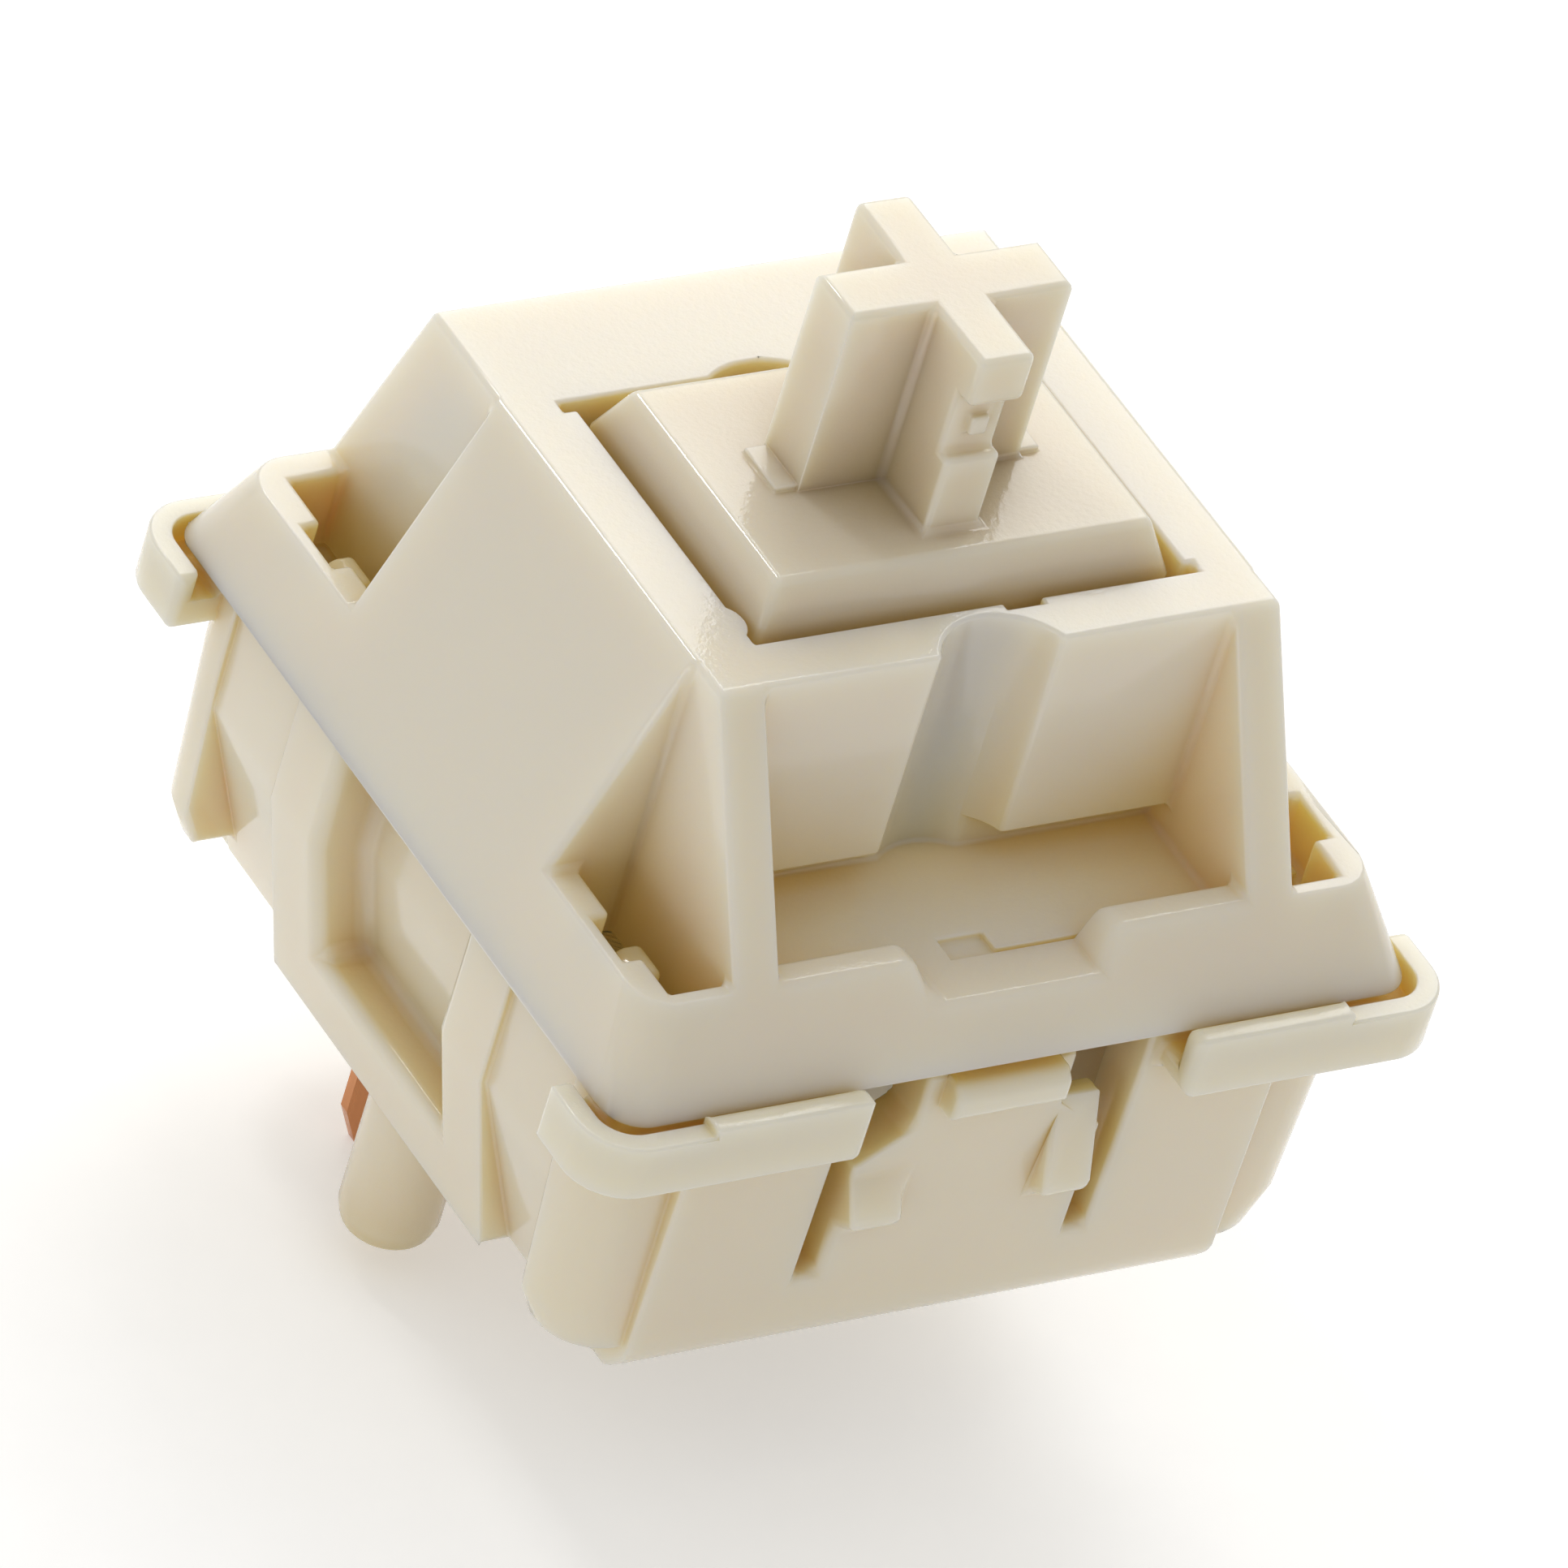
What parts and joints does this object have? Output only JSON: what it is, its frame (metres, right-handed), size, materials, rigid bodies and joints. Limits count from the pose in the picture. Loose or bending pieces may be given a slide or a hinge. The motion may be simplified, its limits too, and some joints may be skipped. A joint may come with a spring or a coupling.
{
  "type": "mechanical keyboard switch",
  "caption": "Plate-mount mechanical key switch with a cross stem, lamp recess, plate clips, board posts and spring-loaded contacts.",
  "frame": {"origin": "centre of the underside that sits on the circuit board, on the centre post's axis", "axes": "+Z the way the key stem rises; -Y the side with the lamp recess; +X to the right when looking at the lamp recess"},
  "size_m": [0.0156, 0.0156, 0.0188],
  "materials": {
    "housing_lower": "moulded cream plastic, satin",
    "housing_upper": "moulded cream plastic, satin",
    "stem": "moulded off-white plastic, satin",
    "spring_wire": "drawn stainless wire",
    "contact_strip": "rolled copper alloy strip",
    "contact_bead": "gold alloy contact rivet"
  },
  "bodies": {
    "housing": {"bottom_housing": "housing_lower", "top_housing": "housing_upper", "return_spring": "spring_wire", "fixed_contact": "contact_strip", "fixed_contact_bead": "contact_bead", "moving_contact_terminal": "contact_strip"},
    "key_stem": {"stem": "stem"},
    "leaf": {"moving_contact_leaf": "contact_strip", "moving_contact_bead": "contact_bead"}
  },
  "joints": [
    {"name": "stem_slide", "type": "slide", "parent": "housing", "child": "key_stem", "axis": [0, 0, -1], "range_m": [0, 0.004], "stiffness_N_per_m": 75, "springref_m": -0.004, "deforming": ["return_spring"]},
    {"name": "leaf_bend", "type": "hinge", "parent": "housing", "child": "leaf", "pos_m": [0, 0.0049, 0.002], "axis": [1, 0, 0], "range_deg": [0, 6.4]}
  ],
  "couplings": [
    {"joint": "leaf_bend", "follows": "stem_slide", "rad_per_m": 27.9}
  ]
}
